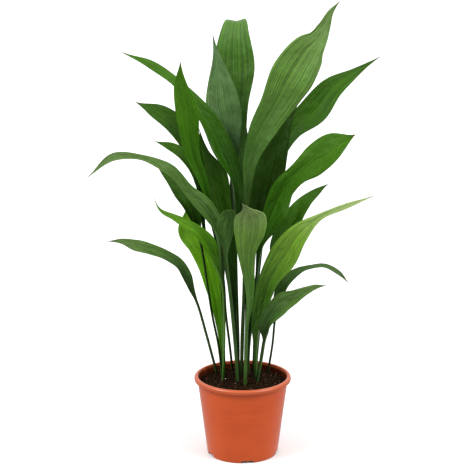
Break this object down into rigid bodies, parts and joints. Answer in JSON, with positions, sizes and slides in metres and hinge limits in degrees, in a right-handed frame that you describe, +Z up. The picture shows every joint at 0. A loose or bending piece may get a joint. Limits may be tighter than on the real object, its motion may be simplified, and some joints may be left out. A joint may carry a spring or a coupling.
{
  "type": "potted plant",
  "caption": "Cast iron plant in a round plastic nursery pot: long arching strap leaves, each on its own stalk from the potting soil.",
  "frame": {"origin": "centre of the pot's underside, on the flat centre pad that the pot stands on", "axes": "+Z up along the pot's axis; -Y is the front, the side that the picture shows; +X is to the right seen from the front"},
  "size_m": [0.5627, 0.4617, 0.8813],
  "materials": {
    "pot_plastic": "semi-matt injection-moulded plastic",
    "potting_soil": "moist crumbly peat and bark",
    "leaf_tissue": "leathery leaf with a waxy sheen and fine lengthwise veins"
  },
  "bodies": {
    "root": {"pot": "pot_plastic", "soil": "potting_soil", "leaf_tall_right": "leaf_tissue", "leaf_tall_back": "leaf_tissue", "leaf_tall_middle": "leaf_tissue", "leaf_long_arch_left": "leaf_tissue", "leaf_upright_left": "leaf_tissue", "leaf_inner_left": "leaf_tissue", "leaf_rear_left_upper": "leaf_tissue", "leaf_rear_left_lower": "leaf_tissue", "leaf_big_arch_left": "leaf_tissue", "leaf_dark_left": "leaf_tissue", "leaf_thin_tail_left": "leaf_tissue", "leaf_bright_left": "leaf_tissue", "leaf_rear_right": "leaf_tissue", "leaf_folded_right": "leaf_tissue", "leaf_broad_right": "leaf_tissue", "leaf_shaded_right": "leaf_tissue", "leaf_low_right": "leaf_tissue", "leaf_long_tip_right": "leaf_tissue", "leaf_drooping_right": "leaf_tissue", "leaf_lowest_right": "leaf_tissue", "leaf_front_curl": "leaf_tissue", "leaf_front_upright": "leaf_tissue", "leaf_lowest_left": "leaf_tissue", "leaf_dark_back": "leaf_tissue"}
  },
  "joints": []
}
